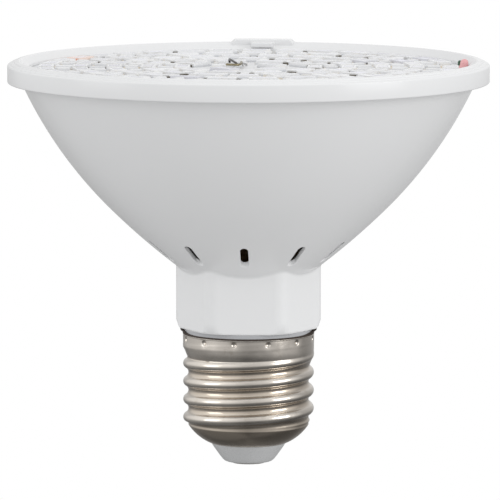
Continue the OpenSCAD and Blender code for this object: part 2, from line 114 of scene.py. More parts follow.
def add_object(name, data):
    """A new object in the scene."""
    made = bpy.data.objects.new(name, data)
    bpy.context.scene.collection.objects.link(made)
    return made


def make_piece(name, parts, crisp=32.0):
    """One object from parts, each (points in mm, faces). Doubles are merged, faces are turned
    outwards, and edges that bend more than crisp degrees stay sharp."""
    points, faces, start = [], [], 0
    for grid, quads in parts:
        flat = np.asarray(grid, float).reshape(-1, 3)
        points.append(flat)
        faces.extend((np.asarray(quads) + start).tolist() if isinstance(quads, np.ndarray)
                     else [[v + start for v in q] for q in quads])
        start += len(flat)
    mesh = bpy.data.meshes.new(name)
    mesh.from_pydata((np.concatenate(points) * MM).tolist(), [], faces)
    work = bmesh.new()
    work.from_mesh(mesh)
    bmesh.ops.remove_doubles(work, verts=work.verts, dist=2e-6)
    bmesh.ops.recalc_face_normals(work, faces=work.faces)
    work.to_mesh(mesh)
    work.free()
    mesh.shade_smooth()
    mesh.set_sharp_from_angle(angle=math.radians(crisp))
    return add_object(name, mesh)


def fit_piece(piece, material, slot, *nodes):
    """Gives a piece its finish, hangs it under the root body and hides the solids that it stands for.
    """
    piece.data.materials.append(material)
    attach(piece, "root")
    if nodes:
        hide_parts(*nodes)


def add_node(mat, kind, inputs=(), **settings):
    """One shader node. Inputs are values, or the sockets that feed them."""
    made = mat.node_tree.nodes.new(kind)
    for key, value in settings.items():
        setattr(made, key, value)
    for key, value in dict(inputs).items():
        if isinstance(value, bpy.types.NodeSocket):
            mat.node_tree.links.new(value, made.inputs[key])
        else:
            made.inputs[key].default_value = value
    return made


def add_math(mat, operation, first, second):
    """The result of one operation on two values or sockets."""
    return add_node(mat, "ShaderNodeMath", {0: first, 1: second}, operation=operation).outputs[0]


def add_noise(mat, place, scale, detail, rough=0.5):
    """Soft noise with a scale per metre."""
    return add_node(mat, "ShaderNodeTexNoise", {"Vector": place, "Scale": scale, "Detail": detail,
                                                "Roughness": rough}).outputs[0]


def mix_colours(mat, share, first, second, blend="MIX"):
    """The first colour with a share of the second, or their product."""
    return add_node(mat, "ShaderNodeMixRGB", {"Fac": share, "Color1": first, "Color2": second},
                    blend_type=blend).outputs[0]


def map_range(mat, value, low, high, top=1.0, bottom=0.0):
    """A value carried from the range low to high over to bottom to top, and held inside it."""
    return add_node(mat, "ShaderNodeMapRange", {"Value": value, "From Min": low, "From Max": high,
                                                "To Min": bottom, "To Max": top}).outputs[0]


def height_and_reach(mat, place):
    """Height over the lamp's lowest point and distance from its axis, both in metres."""
    split = add_node(mat, "ShaderNodeSeparateXYZ", {0: place})
    flat = add_node(mat, "ShaderNodeCombineXYZ", {0: split.outputs[0], 1: split.outputs[1]})
    reach = add_node(mat, "ShaderNodeVectorMath", {0: flat.outputs[0]}, operation="LENGTH")
    return split.outputs[2], reach.outputs["Value"]


def feed(mat, shader, key, socket):
    """Ties one input of the shader to a socket."""
    mat.node_tree.links.new(socket, shader.inputs[key])


def add_relief(mat, shader, height, depth):
    """Lays a relief of a depth in mm over the finish's own grain."""
    relief = add_node(mat, "ShaderNodeBump", {
        "Height": height, "Strength": 1.0, "Distance": depth * MM,
        "Normal": shader.inputs["Normal"].links[0].from_socket})
    feed(mat, shader, "Normal", relief.outputs[0])


def new_finish(name, rgb, rough, drift=0.03, patch=8.0, grain=0.5, depth=0.003, spread=0.06,
               **fixed):
    """Base of every finish. The colour drifts by its share over patches of a size in mm, the
    roughness drifts with finer patches, and a bump of a depth in mm has grains of a size in mm.
    Returns the material, its shader, its coordinates and the socket of its colour."""
    mat = bpy.data.materials.new(name)
    mat.use_nodes = True
    shader = mat.node_tree.nodes["Principled BSDF"]
    place = add_node(mat, "ShaderNodeTexCoord").outputs["Object"]
    shade = mix_colours(mat, add_noise(mat, place, 1000 / patch, 3.0, 0.6),
                        [c * (1 - drift) for c in rgb] + [1],
                        [min(1.0, c * (1 + drift)) for c in rgb] + [1])
    feed(mat, shader, "Base Color", shade)
    wear = map_range(mat, add_noise(mat, place, 3200 / patch, 4.0), 0.3, 0.7, top=rough + spread,
                     bottom=max(0.02, rough - spread))
    feed(mat, shader, "Roughness", wear)
    bump = add_node(mat, "ShaderNodeBump", {"Height": add_noise(mat, place, 1000 / grain, 2.0),
                                            "Strength": 1.0, "Distance": depth * MM})
    feed(mat, shader, "Normal", bump.outputs[0])
    for key, value in fixed.items():
        shader.inputs[key.replace("_", " ")].default_value = value
    return mat, shader, place, shade


def add_specks(mat, shader, place, under, rgb, cell, size, share):
    """Small dark specks: in a share of cells of a size in mm, a spot of a radius in mm round the
    cell's own point takes the colour."""
    cells = add_node(mat, "ShaderNodeTexVoronoi", {"Vector": place, "Scale": 1000 / cell})
    spot = add_math(mat, "LESS_THAN", cells.outputs["Distance"], size / cell)
    pick = add_node(mat, "ShaderNodeSeparateColor", {0: cells.outputs["Color"]})
    few = add_math(mat, "LESS_THAN", pick.outputs[0], share)
    mixed = mix_colours(mat, add_math(mat, "MULTIPLY", spot, few), under, list(rgb) + [1])
    feed(mat, shader, "Base Color", mixed)
    return mixed


def slot_patch(turn):
    """The band of the bowl round one slot, as a tube of loops. Seen from above, the outer loop is
    the edge of a sector and the inner one is the slot's outline, which is a straight core swept
    by half its width. Loops run along the outside, round the slot's edge, up its upright wall,
    round the upper edge and back along the inside."""
    half, sweep, soft = (slot_long - slot_wide) / 2, slot_wide / 2, 0.14
    side_turn = math.pi / slot_count
    arc = np.linspace(-side_turn, side_turn, slot_steps + 1)
    side = np.linspace(band_in, band_out, 15)

    def polar(r, a):
        return np.stack([r * np.cos(a), r * np.sin(a)], axis=-1)

    border = np.concatenate([polar(band_in, arc[:-1]), polar(side[:-1], side_turn + 0 * side[:-1]),
                             polar(band_out, arc[:0:-1]),
                             polar(side[:0:-1], -side_turn + 0 * side[:-1])])
    local = border - [slot_mid, 0]
    core = np.stack([np.clip(local[:, 0], -half, half), 0 * local[:, 0]], axis=-1)
    away = local - core
    away /= np.linalg.norm(away, axis=1, keepdims=True)

    def outline(gap):
        return core + away * (sweep + gap) + [slot_mid, 0]

    def lifted(plan, z):
        return np.concatenate([plan, z[:, None]], axis=1)

    loops = []
    for share in np.linspace(1, 0, 9) ** 1.5:
        plan = outline(soft) + (border - outline(soft)) * share
        loops.append(lifted(plan, bowl_height(np.hypot(*plan.T))))
    for bend in np.radians([25, 50, 75, 90]):
        plan = outline(soft * (1 - math.sin(bend)))
        loops.append(lifted(plan, bowl_height(np.hypot(*plan.T)) + soft * (1 - math.cos(bend))))
    for bend in np.radians([90, 45]):
        plan = outline(soft * (1 - math.sin(bend)))
        loops.append(lifted(plan, bowl_height(np.hypot(*plan.T), foot_wall)
                            - soft * (1 - math.cos(bend))))
    for share in np.linspace(0, 1, 5) ** 1.5:
        plan = outline(soft) + (border - outline(soft)) * share
        loops.append(lifted(plan, bowl_height(np.hypot(*plan.T), foot_wall)))
    grid = np.stack(loops)
    spin = np.array([[math.cos(turn), math.sin(turn), 0], [-math.sin(turn), math.cos(turn), 0],
                     [0, 0, 1]])
    return grid @ spin, closed_round(len(loops), len(border))


def housing_parts():
    """The upper shell, the neck with its spigot and bore, the slotted band, and the two guides
    for the driver board with their stops."""
    lip_r, seat_r, rim_r = bowl_radius(lip_z), 44.75, 46.70
    outer = [(r, bowl_height(r)) for r in np.linspace(band_out, lip_r, 34)]
    rim = [(rim_r - 0.1, lip_z), (rim_r, lip_z + 0.1), (rim_r, face_z - 0.15), (rim_r - 0.15, face_z),
           (seat_r + 0.1, face_z), (seat_r, face_z - 0.1), (seat_r, board_z)]
    under_seat = bowl_radius(board_z, wall)
    inner = [(r, bowl_height(r, wall)) for r in np.linspace(under_seat, foot_r, 18)]
    inner += [(foot_r, bowl_height(foot_r, foot_wall)), (band_out, bowl_height(band_out, foot_wall))]
    parts = [turned(outer + rim + inner)]

    neck, soft = neck_radius(around), 0.45
    foot = bowl_height(neck)
    rows = []
    for share in np.linspace(0, 1, 7):
        r = band_in + (neck + soft - band_in) * share
        rows.append((r, bowl_height(r)))
    for t in (0.2, 0.4, 0.6, 0.8, 1.0):
        rows.append(((neck + soft) * (1 - t) ** 2 + neck * (2 * t * (1 - t) + t * t),
                     bowl_height(neck + soft) * (1 - t) ** 2 + foot * 2 * t * (1 - t)
                     + (foot - soft) * t * t))
    cut_z = neck_z + np.maximum(0, neck - cone_r) / cone_rise
    for share in (0.25, 0.5, 0.75, 0.95):
        rows.append((neck, (foot - soft) * (1 - share) + (cut_z + 0.4) * share))
    low_r = np.minimum(neck, cone_r)
    rows += [(neck - 0.01, cut_z + 0.22), (np.minimum(neck, low_r + 0.3 * cone_rise), neck_z + 0.3),
             (low_r - 0.02, neck_z + 0.16), (low_r - 0.09, neck_z + 0.05), (low_r - 0.2, neck_z)]
    rows += [(flange_r + 0.08, neck_z), (flange_r, neck_z - 0.08), (flange_r, neck_z - 0.9),
             (flange_r - 0.08, neck_z - 0.98), (spigot_r, neck_z - 1.0), (spigot_r, spigot_z + 2.1),
             (spigot_r - 0.4, spigot_z + 2.0), (spigot_r - 0.4, spigot_z + 0.5),
             (spigot_r, spigot_z + 0.4), (spigot_r - 0.05, spigot_z), (bore_r, spigot_z)]
    rows += [(bore_r, float(bowl_height(bore_r, foot_wall)))]
    rows += [(r, bowl_height(r, foot_wall)) for r in np.linspace(bore_r + 1, band_in, 5)]
    parts.append(turned(rows))

    for k in range(slot_count):
        parts.append(slot_patch(2 * math.pi * k / slot_count - math.pi / 2))
    # A guide is a block on the bore's wall with a groove for the board's edge. The stop under it is
    # the same block without the groove.
    stop_low, board_foot, guide_top = 24.1, 25.0, 39.0
    guide = np.array([[8.7, 0.62], [8.7, 2.2], [11.15, 2.2], [11.5, 0.9], [11.5, -0.9],
                      [11.15, -2.2], [8.7, -2.2], [8.7, -0.62], [10.22, -0.62], [10.22, 0.62]])
    stop = guide[1:7]
    for way in (1, -1):
        for plan, low_z, high_z in ((guide, board_foot, guide_top), (stop, stop_low, board_foot)):
            n = len(plan)
            ends = [np.concatenate([plan * way, np.full((n, 1), z)], axis=1)
                    for z in (low_z, high_z)]
            parts.append((np.stack(ends), closed_tube(2, n)))
    return parts


housing_plastic, shader, place, shade = new_finish(
    "housing_plastic", (0.865, 0.867, 0.87), 0.22, drift=0.012, patch=22, grain=2.4, depth=0.0022,
    spread=0.035, IOR=1.49)
clean = add_specks(housing_plastic, shader, place, shade, (0.42, 0.43, 0.45), cell=6.5, size=0.16,
                   share=0.05)
# Under the neck's foot the plastic is painted grey: painted shade on the flange and spigot in the
# neck's shadow.
below = map_range(housing_plastic, height_and_reach(housing_plastic, place)[0], neck_z * MM,
                  (neck_z - 0.1) * MM)
painted_shade_foot = mix_colours(housing_plastic, below, clean, (0.47, 0.475, 0.49, 1))
feed(housing_plastic, shader, "Base Color", painted_shade_foot)
fit_piece(make_piece("housing_moulding", housing_parts(), 28), housing_plastic, "housing", "housing")

# The screw shell is drawn from nickel-plated brass sheet. A plain collar is crimped on the
# spigot by twelve punch dents, and the right-hand thread is rolled. The bottom turns in to a
# mouth whose cut edge is bare brass.
crest_r, root_r, pitch, sheet = 13.10, 12.05, 3.629, 0.3
crest_z, thread_turn = 14.65, 2.4
collar_r, skirt_z, dome_z, mouth_z, mouth_r = 13.15, 23.8, 8.3, 4.1, 7.7
dent_count, dent_turn, dent_z, dent_punch, dent_deep = 12, 10.2, 25.3, 0.6, 0.36
dent_step, draw_deep, draw_wide, edge_z = 360 / dent_count, 0.07, 0.75, 26.19
flank = (crest_r - root_r) / 2
knuckle = (pitch ** 2 / 16 + flank ** 2) / (2 * flank)


def rolled_radius(z, a):
    """Radius of the thread at height z and angle a in degrees. Its section is two arcs of one
    radius that meet on the flank: the crest arc bulges out, the root arc bulges in, and the
    pattern climbs one pitch a turn. Under the collar the skirt falls away softly, and where skirt
    and thread meet they are blended; at the bottom the thread runs out into the plain wall."""
    h = z - crest_z - pitch * (a - thread_turn) / 360
    h = np.abs(h - pitch * np.round(h / pitch))
    crest = crest_r - knuckle + np.sqrt(np.maximum(knuckle ** 2 - h ** 2, 0))
    root = root_r + knuckle - np.sqrt(np.maximum(knuckle ** 2 - (pitch / 2 - h) ** 2, 0))
    thread = np.where(h < pitch / 4, crest, root)
    turn = a - thread_turn
    turn = turn - 360 * np.round(turn / 360)
    below = skirt_z - (1 - np.abs(turn) / 180) * pitch / 2 - z
    below = (below + np.sqrt(below ** 2 + 0.5)) / 2
    skirt = collar_r - 0.33 * below - 0.03 * below ** 2
    thread = (thread + skirt + np.sqrt((thread - skirt) ** 2 + 0.02)) / 2
    fade = np.clip((z - dome_z + 0.15) / 0.5, 0, 1)
    fade = fade * fade * (3 - 2 * fade)
    return root_r + (thread - root_r) * fade


def dent_depth(z, a):
    """How far the collar is pushed in: inside a punch mark the wall follows the round punch, and
    round it the sheet is drawn in a little, less and less with distance."""
    step = (a + 90 + dent_turn + dent_step / 2) % dent_step - dent_step / 2
    far = np.hypot(np.radians(step) * collar_r, z - dent_z)
    ball = dent_deep - dent_punch + np.sqrt(np.maximum(dent_punch ** 2 - far ** 2, 0))
    draw = draw_deep * np.exp(-(far / draw_wide) ** 2)
    return np.maximum(np.maximum(ball, 0), draw)


def shell_parts():
    """Outside from the mouth up to the collar's edge and inside back down, as one closed skin."""
    near = np.array([-3.4, -2.9, -2.5, -2.2, -1.9, -1.6, -1.3, -1.0, -0.7, -0.35, 0.0])
    one = np.concatenate([near, -near[:-1][::-1], np.arange(5.0, 26.0, 1.9)])
    angles = np.concatenate([one + dent_step * k for k in range(dent_count)]) - 90 - dent_turn
    a = angles[None, :]
    dome_top, arc_r = dome_z - 0.6, 9.5
    middle = np.array([(root_r + mouth_r) / 2, (dome_top + mouth_z) / 2])
    gap = np.array([root_r - mouth_r, dome_top - mouth_z])
    length = math.hypot(*gap)
    centre = middle + math.sqrt(arc_r ** 2 - length ** 2 / 4) / length * np.array([-gap[1], gap[0]])
    turn0 = math.atan2(mouth_z - centre[1], mouth_r - centre[0])
    turn1 = math.atan2(dome_top - centre[1], root_r - centre[0])
    bend = np.linspace(turn0, turn1, 22)
    dome = [(centre[0] + arc_r * math.cos(t), centre[1] + arc_r * math.sin(t)) for t in bend]
    lip = [(mouth_r - 0.16, mouth_z + 0.12), (mouth_r - 0.08, mouth_z + 0.02)]
    z = np.concatenate([np.linspace(dome_z - 0.5, skirt_z - 0.08, 128),
                        [skirt_z, 24.0, 24.2, 24.4], np.arange(24.55, 26.0, 0.1)])[:, None]
    wall_r = np.minimum(rolled_radius(z, a), collar_r) - dent_depth(z, a)
    side = [(wall_r[i], z[i, 0]) for i in range(len(z))]
    edge = [(collar_r + out, up) for out, up in (
        (0.0, edge_z - 0.15), (0.02, edge_z - 0.11), (0.03, edge_z - 0.07), (0.01, edge_z - 0.03),
        (-0.05, edge_z), (-0.18, edge_z), (-0.26, edge_z - 0.05))]
    inner_z = np.concatenate([[26.0, 25.75, 25.5, 25.25, 25.0, 24.75, 24.4],
                              np.linspace(skirt_z - 0.1, dome_z - 0.5, 46)])[:, None]
    inside = np.minimum(rolled_radius(inner_z, a), collar_r) - dent_depth(inner_z, a) - sheet
    back = [(inside[i], inner_z[i, 0]) for i in range(len(inner_z))]
    under = [(centre[0] + (arc_r - sheet) * math.cos(t), centre[1] + (arc_r - sheet) * math.sin(t))
             for t in bend[::-3]]
    rows = lip + dome + side + edge + back + under + [(mouth_r - 0.2, mouth_z + sheet), lip[0]]
    return [turned(rows, np.radians(angles))]


nickel_plate, shader, place, shade = new_finish(
    "nickel_plate", (0.715, 0.665, 0.605), 0.2, drift=0.05, patch=5, grain=0.8, depth=0.0015,
    spread=0.07, Metallic=1.0)
rings = add_node(nickel_plate, "ShaderNodeMapping", {"Vector": place, "Scale": (1, 1, 60)})
add_relief(nickel_plate, shader, add_noise(nickel_plate, rings.outputs[0], 90.0, 3.0), 0.0012)
blotches = add_noise(nickel_plate, place, 260.0, 5.0, rough=0.7)
stain = map_range(nickel_plate, blotches, 0.56, 0.72, top=0.55)
tarnish = mix_colours(nickel_plate, stain, shade, (0.50, 0.44, 0.36, 1))
height, reach = height_and_reach(nickel_plate, place)
cut = map_range(nickel_plate, height, (mouth_z + 0.12) * MM, (mouth_z + 0.02) * MM)
raw = mix_colours(nickel_plate, cut, tarnish, (0.62, 0.42, 0.18, 1))
# Nearer the axis than the crests the plating is painted browner, most in the thread's roots and all
# over the dome: painted shade and reflection.
groove_shade_share = map_range(nickel_plate, reach, (crest_r - 0.4) * MM, (root_r + 0.05) * MM,
                   top=0.5)
painted_groove_shade = mix_colours(nickel_plate, groove_shade_share, raw, (0.52, 0.42, 0.31, 1))
feed(nickel_plate, shader, "Base Color", painted_groove_shade)
fit_piece(make_piece("screw_shell_plated", shell_parts(), 50), nickel_plate, "plated_brass",
          "screw_shell")

# A dark brown bead lies between the shell's edge and the neck's foot, seen as a fine line, and swells
# out under the neck's corners at both sides: a dark piece put in for the shade in that narrow gap.
bead_turn = np.radians(np.arange(0, 360, 2.0))
swell = np.abs(np.cos(bead_turn)) ** 16
bead_in, bead_r = 12.8, 13.0
bead = turned([(bead_in, edge_z - 0.07), (bead_r + 0.1, edge_z - 0.05), (bead_r + 0.16, edge_z + 0.03),
               (bead_r + 0.15 + 0.05 * swell, edge_z + 0.17),
               (bead_r + 0.06 + 0.2 * swell, edge_z + 0.27 + 0.15 * swell),
               (bead_r + 0.66 * swell, edge_z + 0.29 + 0.4 * swell),
               (bead_r - 0.01 + 0.74 * swell, edge_z + 0.31 + 0.78 * swell),
               (bead_in, edge_z + 0.31 + 0.78 * swell), (bead_in, edge_z - 0.07)], bead_turn)
gap_shade_fill = new_finish("painted_gap_shade", (0.035, 0.022, 0.014), 0.6, drift=0.3, patch=1.5, grain=0.3,
                    depth=0.02)[0]
fit_piece(make_piece("cap_gap_shade_bead", [bead], 40), gap_shade_fill, "component_black")

# The insulator is a pale cone pressed into the shell's mouth, with a plug behind the mouth and a
# recess for the contact. The contact is a plated disc on a rivet that is headed over inside.
insulator_rows = [
    (0.97, 0.6), (3.62, 0.6), (3.62, 0.36), (3.68, 0.31), (4.34, 0.3), (4.52, 0.33), (4.7, 0.4),
    (4.88, 0.5), (5.04, 0.63), (5.2, 0.79), (5.36, 0.98), (5.54, 1.2), (5.74, 1.45), (5.96, 1.76),
    (6.2, 2.1), (6.5, 2.52), (6.8, 2.93), (7.05, 3.3), (7.28, 3.68), (7.42, 3.95), (7.48, 4.12),
    (7.55, 4.45), (7.9, 4.75), (8.3, 5.2), (8.5, 5.6), (8.4, 5.88), (0.97, 5.88), (0.97, 0.6)]
fine_turn = np.radians(np.arange(0, 360, 3.0))
insulator_glaze, shader, place, shade = new_finish(
    "insulator_glaze", (0.565, 0.568, 0.57), 0.28, drift=0.04, patch=4, grain=0.8, depth=0.002,
    IOR=1.52)
add_specks(insulator_glaze, shader, place, shade, (0.2, 0.18, 0.15), cell=3.2, size=0.1,
           share=0.06)
fit_piece(make_piece("insulator_cone", [turned(insulator_rows, fine_turn)], 40), insulator_glaze,
          "insulator", "cap_insulator")


def dress(node, material):
    """Gives a solid of the part a worked-out finish in place of its plain one."""
    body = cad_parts[node]
    if not body.material_slots:
        body.data.materials.append(material)
    for slot in body.material_slots:
        slot.material = material


contact_plate = new_finish("contact_plate", (0.42, 0.39, 0.34), 0.34, drift=0.12, patch=1.5,
                           grain=0.25, depth=0.006, Metallic=1.0)[0]
dress("centre_contact", contact_plate)

# The driver stands in the neck: a brown laminate board held by the guides, with its capacitors,
# choke, rectifier, chip and fusible resistor, and two leads down into the cap. Little of it shows.
laminate, shader, place, shade = new_finish(
    "brown_laminate", (0.30, 0.17, 0.075), 0.5, drift=0.15, patch=4, grain=0.3, depth=0.01)
weave = add_node(laminate, "ShaderNodeTexWave", {"Vector": place, "Scale": 300.0, "Distortion": 2.0,
                                                 "Detail": 2.0}, bands_direction="Z")
woven = mix_colours(laminate, weave.outputs["Fac"], shade, (0.36, 0.22, 0.11, 1))
feed(laminate, shader, "Base Color", woven)
dress("driver_board", laminate)
sleeve = new_finish("shrunk_sleeve", (0.02, 0.022, 0.035), 0.28, drift=0.2, patch=3, grain=1.2,
                    depth=0.01)[0]
for node in ("input_capacitor", "output_capacitor"):
    dress(node, sleeve)
dress("film_capacitor", new_finish("film_box", (0.52, 0.33, 0.05), 0.3, drift=0.1, patch=2,
                                   grain=0.6, depth=0.01)[0])
potting = new_finish("black_moulding", (0.025, 0.025, 0.027), 0.5, drift=0.2, patch=1.5,
                     grain=0.2, depth=0.01)[0]
for node in ("bridge_rectifier", "driver_chip"):
    dress(node, potting)
winding, shader, place = new_finish("copper_winding", (0.35, 0.12, 0.05), 0.35, drift=0.2,
                                    patch=1, grain=0.3, depth=0.01)[:3]
loops = add_node(winding, "ShaderNodeTexWave", {"Vector": place, "Scale": 1400.0},
                 bands_direction="Z")
wound = add_node(winding, "ShaderNodeBump", {"Height": loops.outputs["Fac"], "Strength": 1.0,
                                             "Distance": 0.08 * MM})
feed(winding, shader, "Normal", wound.outputs[0])
dress("choke", winding)
dress("fuse_resistor", new_finish("blue_lacquer", (0.2, 0.34, 0.42), 0.35, drift=0.1, patch=1.5,
                                  grain=0.4, depth=0.01)[0])
red_cover = new_finish("red_cover", (0.55, 0.035, 0.03), 0.42, drift=0.12, patch=2, grain=0.5,
                       depth=0.01)[0]
black_cover = new_finish("black_cover", (0.02, 0.02, 0.02), 0.42, drift=0.2, patch=2, grain=0.5,
                         depth=0.01)[0]
dress("live_lead", red_cover)
dress("neutral_lead", black_cover)

# The LED board is an aluminium disc under white solder mask. Its copper runs show as low rings
# under the mask between the rows of packages, and soldering has left a few yellowed places.
board_mask, shader, place, shade = new_finish(
    "board_mask", (0.86, 0.862, 0.868), 0.38, drift=0.04, patch=6, grain=0.5, depth=0.004)
row_step = 6.8
wrap = add_math(board_mask, "PINGPONG", height_and_reach(board_mask, place)[1], row_step / 2 * MM)
run = map_range(board_mask, wrap, 1.1 * MM, 1.3 * MM)
add_relief(board_mask, shader, run, 0.05)
tone = mix_colours(board_mask, run, shade, (0.80, 0.805, 0.815, 1))
burn = map_range(board_mask, add_noise(board_mask, place, 170.0, 4.0), 0.6, 0.75, top=0.4)
aged = mix_colours(board_mask, burn, tone, (0.52, 0.42, 0.27, 1))
feed(board_mask, shader, "Base Color", aged)
dress("led_board", board_mask)

# The LEDs are white moulded packages soldered flat in six rings, long side along the ring. Each
# has a sunk window filled with clear gel and tinned terminals at both ends.
row_radius = [40.4, 33.6, 26.8, 20.0, 13.2, 6.4]
row_count = [36, 28, 22, 16, 10, 4]
package_long, package_wide, package_high = 5.7, 3.0, 0.8
shuffle = np.random.default_rng(7)


def frames(levels):
    """Points and faces of stacked rectangles: each level is (half width, half length, height,
    middle along the length), side faces join neighbouring levels, and both ends are closed."""
    corners = np.array([[1, 1], [-1, 1], [-1, -1], [1, -1]], float)
    grid = np.stack([np.column_stack([corners * lv[:2] + [0, lv[3]], np.full(4, lv[2])])
                     for lv in levels])
    last = 4 * (len(levels) - 1)
    ends = [[3, 2, 1, 0], [last, last + 1, last + 2, last + 3]]
    return grid.reshape(-1, 3), np.array(closed_round(len(levels), 4).tolist() + ends)


def set_round(shape, r, turns):
    """Copies of a small shape on a ring: the shape's x points outwards, its y along the ring."""
    points, faces = shape
    c, s = np.cos(turns)[:, None], np.sin(turns)[:, None]
    x, y = points[:, 0][None] + r, points[:, 1][None]
    z = np.broadcast_to(points[:, 2][None] + face_z, (len(turns), len(points)))
    placed = np.stack([x * c - y * s, x * s + y * c, z], axis=-1)
    many = faces[None] + (np.arange(len(turns)) * len(points))[:, None, None]
    return placed, many.reshape(-1, faces.shape[1])


def tinted_piece(name, parts, crisp, colours, material, slot, *nodes):
    """A piece of many small shapes with equal numbers of points. One colour for each shape is
    written to the mesh, for the finish to read."""
    piece = make_piece(name, parts, crisp)
    layer = piece.data.color_attributes.new("tint", "FLOAT_COLOR", "POINT")
    each = len(piece.data.vertices) // len(colours)
    layer.data.foreach_set("color", np.repeat(colours, each, axis=0).ravel())
    fit_piece(piece, material, slot, *nodes)


def tint_finish(mat, shader, place, under):
    """Multiplies a finish's colour by the one that is written to the mesh. It takes what
    new_finish gives."""
    tint = add_node(mat, "ShaderNodeAttribute", attribute_name="tint")
    feed(mat, shader, "Base Color", mix_colours(mat, 1.0, under, tint.outputs["Color"],
                                                  blend="MULTIPLY"))
    return mat


half_w, half_l = package_wide / 2, package_long / 2
package_body = frames([(half_w - 0.06, half_l - 0.06, 0.0, 0), (half_w, half_l, 0.06, 0),
                       (half_w, half_l, 0.34, 0), (half_w - 0.06, half_l - 0.06, 0.38, 0),
                       (half_w - 0.06, half_l - 0.06, package_high - 0.04, 0),
                       (half_w - 0.1, half_l - 0.1, package_high, 0),
                       (half_w - 0.45, half_l - 0.8, package_high, 0),
                       (half_w - 0.56, half_l - 0.91, package_high - 0.14, 0)])
package_gel = frames([(half_w - 0.55, half_l - 0.9, package_high - 0.13, 0),
                      (half_w - 0.53, half_l - 0.88, package_high - 0.07, 0),
                      (half_w - 0.8, half_l - 1.2, package_high - 0.035, 0),
                      (half_w - 1.1, half_l - 1.6, package_high - 0.025, 0)])
terminal_one = frames([(1.0, 0.34, 0.0, half_l + 0.16), (1.0, 0.3, 0.44, half_l + 0.12),
                       (0.9, 0.12, 0.5, half_l - 0.02)])
terminal_two = (terminal_one[0] * [1, -1, 1], terminal_one[1])
terminals = (np.concatenate([terminal_one[0], terminal_two[0]]),
             np.concatenate([terminal_one[1], terminal_two[1] + len(terminal_one[0])]))

package_white, shader, place, shade = new_finish(
    "package_white", (0.91, 0.912, 0.92), 0.3, drift=0.03, patch=2, grain=0.3, depth=0.004)
# Up to 0.32 mm over the board the sides of the packages and of the small parts are painted grey:
# painted shade low on the sides.
above_side_shade = map_range(package_white, height_and_reach(package_white, place)[0], (face_z + 0.32) * MM,
                  (face_z + 0.4) * MM)
tint_finish(package_white, shader, place,
            mix_colours(package_white, above_side_shade, (0.77, 0.78, 0.80, 1), shade))
clear_gel = tint_finish(*new_finish("clear_gel", (0.68, 0.68, 0.72), 0.12, drift=0.1, patch=1,
                                    grain=0.5, depth=0.004, IOR=1.45))
terminal_tin = tint_finish(*new_finish("terminal_tin", (0.80, 0.79, 0.77), 0.35, drift=0.15,
                                       patch=2, grain=0.2, depth=0.01))

for row, (r, count) in enumerate(zip(row_radius, row_count), start=1):
    turns = np.radians(360.0 * np.arange(count) / count + (45 if row == 6 else 0))
    # The outer row leaves one place free for the rim wires.
    if row == 1:
        turns = np.delete(turns, 1)
    n = len(turns)
    plain = np.column_stack([shuffle.uniform(0.9, 1.0, (n, 1)).repeat(3, 1), np.ones(n)])
    plain[shuffle.random(n) < 0.05, :3] = (0.8, 0.8, 0.84)
    gel = np.column_stack([shuffle.uniform(0.8, 1.2, (n, 1)).repeat(3, 1), np.ones(n)])
    gel[:, 2] *= shuffle.uniform(1.0, 1.1, n)
    # Each gap between neighbours gives the terminals on both its sides one tint, dark for many, and
    # one package at the left is tinted orange.
    gap = np.ones((n, 4))
    gap[shuffle.random(n) < 0.4, :3] = (0.1, 0.08, 0.045)
    if row == 1:
        warm_side = 150
        warm = np.abs(np.degrees(turns) - warm_side) < 3
        gap[warm, :3] = (1.0, 0.3, 0.12)
        plain[warm, :3] = (1.0, 0.84, 0.76)
    ends = np.stack([gap, np.roll(gap, 1, 0)], axis=1).reshape(-1, 4)
    tinted_piece(f"led_row_{row}_bodies", [set_round(package_body, r, turns)], 20, plain,
                 package_white, "led_package", f"led_row_{row}")
    tinted_piece(f"led_row_{row}_windows", [set_round(package_gel, r, turns)], 60, gel, clear_gel,
                 "led_package")
    tinted_piece(f"led_row_{row}_terminals", [set_round(terminals, r, turns)], 20, ends,
                 terminal_tin, "solder")

# Small white surface parts of two sizes sit between the rows, along the radius and lower than the
# packages, each with a tinned end on both sides. The three outer rings leave a gap behind the joint
# of the board wires.
part_body = frames([(1.55, 0.72, 0.0, 0), (1.6, 0.78, 0.05, 0), (1.6, 0.78, 0.5, 0),
                    (1.52, 0.7, 0.56, 0)])
part_tall = frames([(1.2, 0.62, 0.0, 0), (1.25, 0.68, 0.05, 0), (1.25, 0.68, 0.68, 0),
                    (1.18, 0.6, 0.74, 0)])
part_end = frames([(0.22, 0.66, 0.0, 0), (0.24, 0.68, 0.04, 0), (0.24, 0.68, 0.3, 0),
                   (0.2, 0.64, 0.34, 0)])
part_step, joint_side, joint_free = 4.4, 107, 9
bodies, tins, body_tint, tin_tint = [], [], [], []
for r in (37.0, 30.2, 23.4, 16.6):
    n = int(2 * math.pi * r / part_step)
    turns = 2 * math.pi * np.arange(n) / n + shuffle.uniform(-0.3, 0.3, n) / r + 0.05
    turns = turns[(r < 20) | (np.abs(np.degrees(turns) - joint_side) > joint_free)]
    n = len(turns)
    high = shuffle.random(n) < 0.4
    for shape, pick in ((part_body, ~high), (part_tall, high)):
        bodies.append(set_round(shape, r, turns[pick]))
        body_tint.append(np.column_stack([shuffle.uniform(0.86, 1.0, (pick.sum(), 1)).repeat(3, 1),
                                          np.ones(pick.sum())]))
        dark = np.where(shuffle.random(pick.sum()) < 0.16, 0.2, 1.0)
        for way in (1, -1):
            tins.append(set_round(part_end, r + way * (shape[0][:, 0].max() + 0.16), turns[pick]))
            tin_tint.append(np.column_stack([dark, dark * 0.9, dark * 0.75, np.ones(pick.sum())]))
tinted_piece("board_small_parts", bodies, 20, np.concatenate(body_tint), package_white,
             "led_package")
tinted_piece("board_small_part_ends", tins, 20, np.concatenate(tin_tint), terminal_tin, "solder")

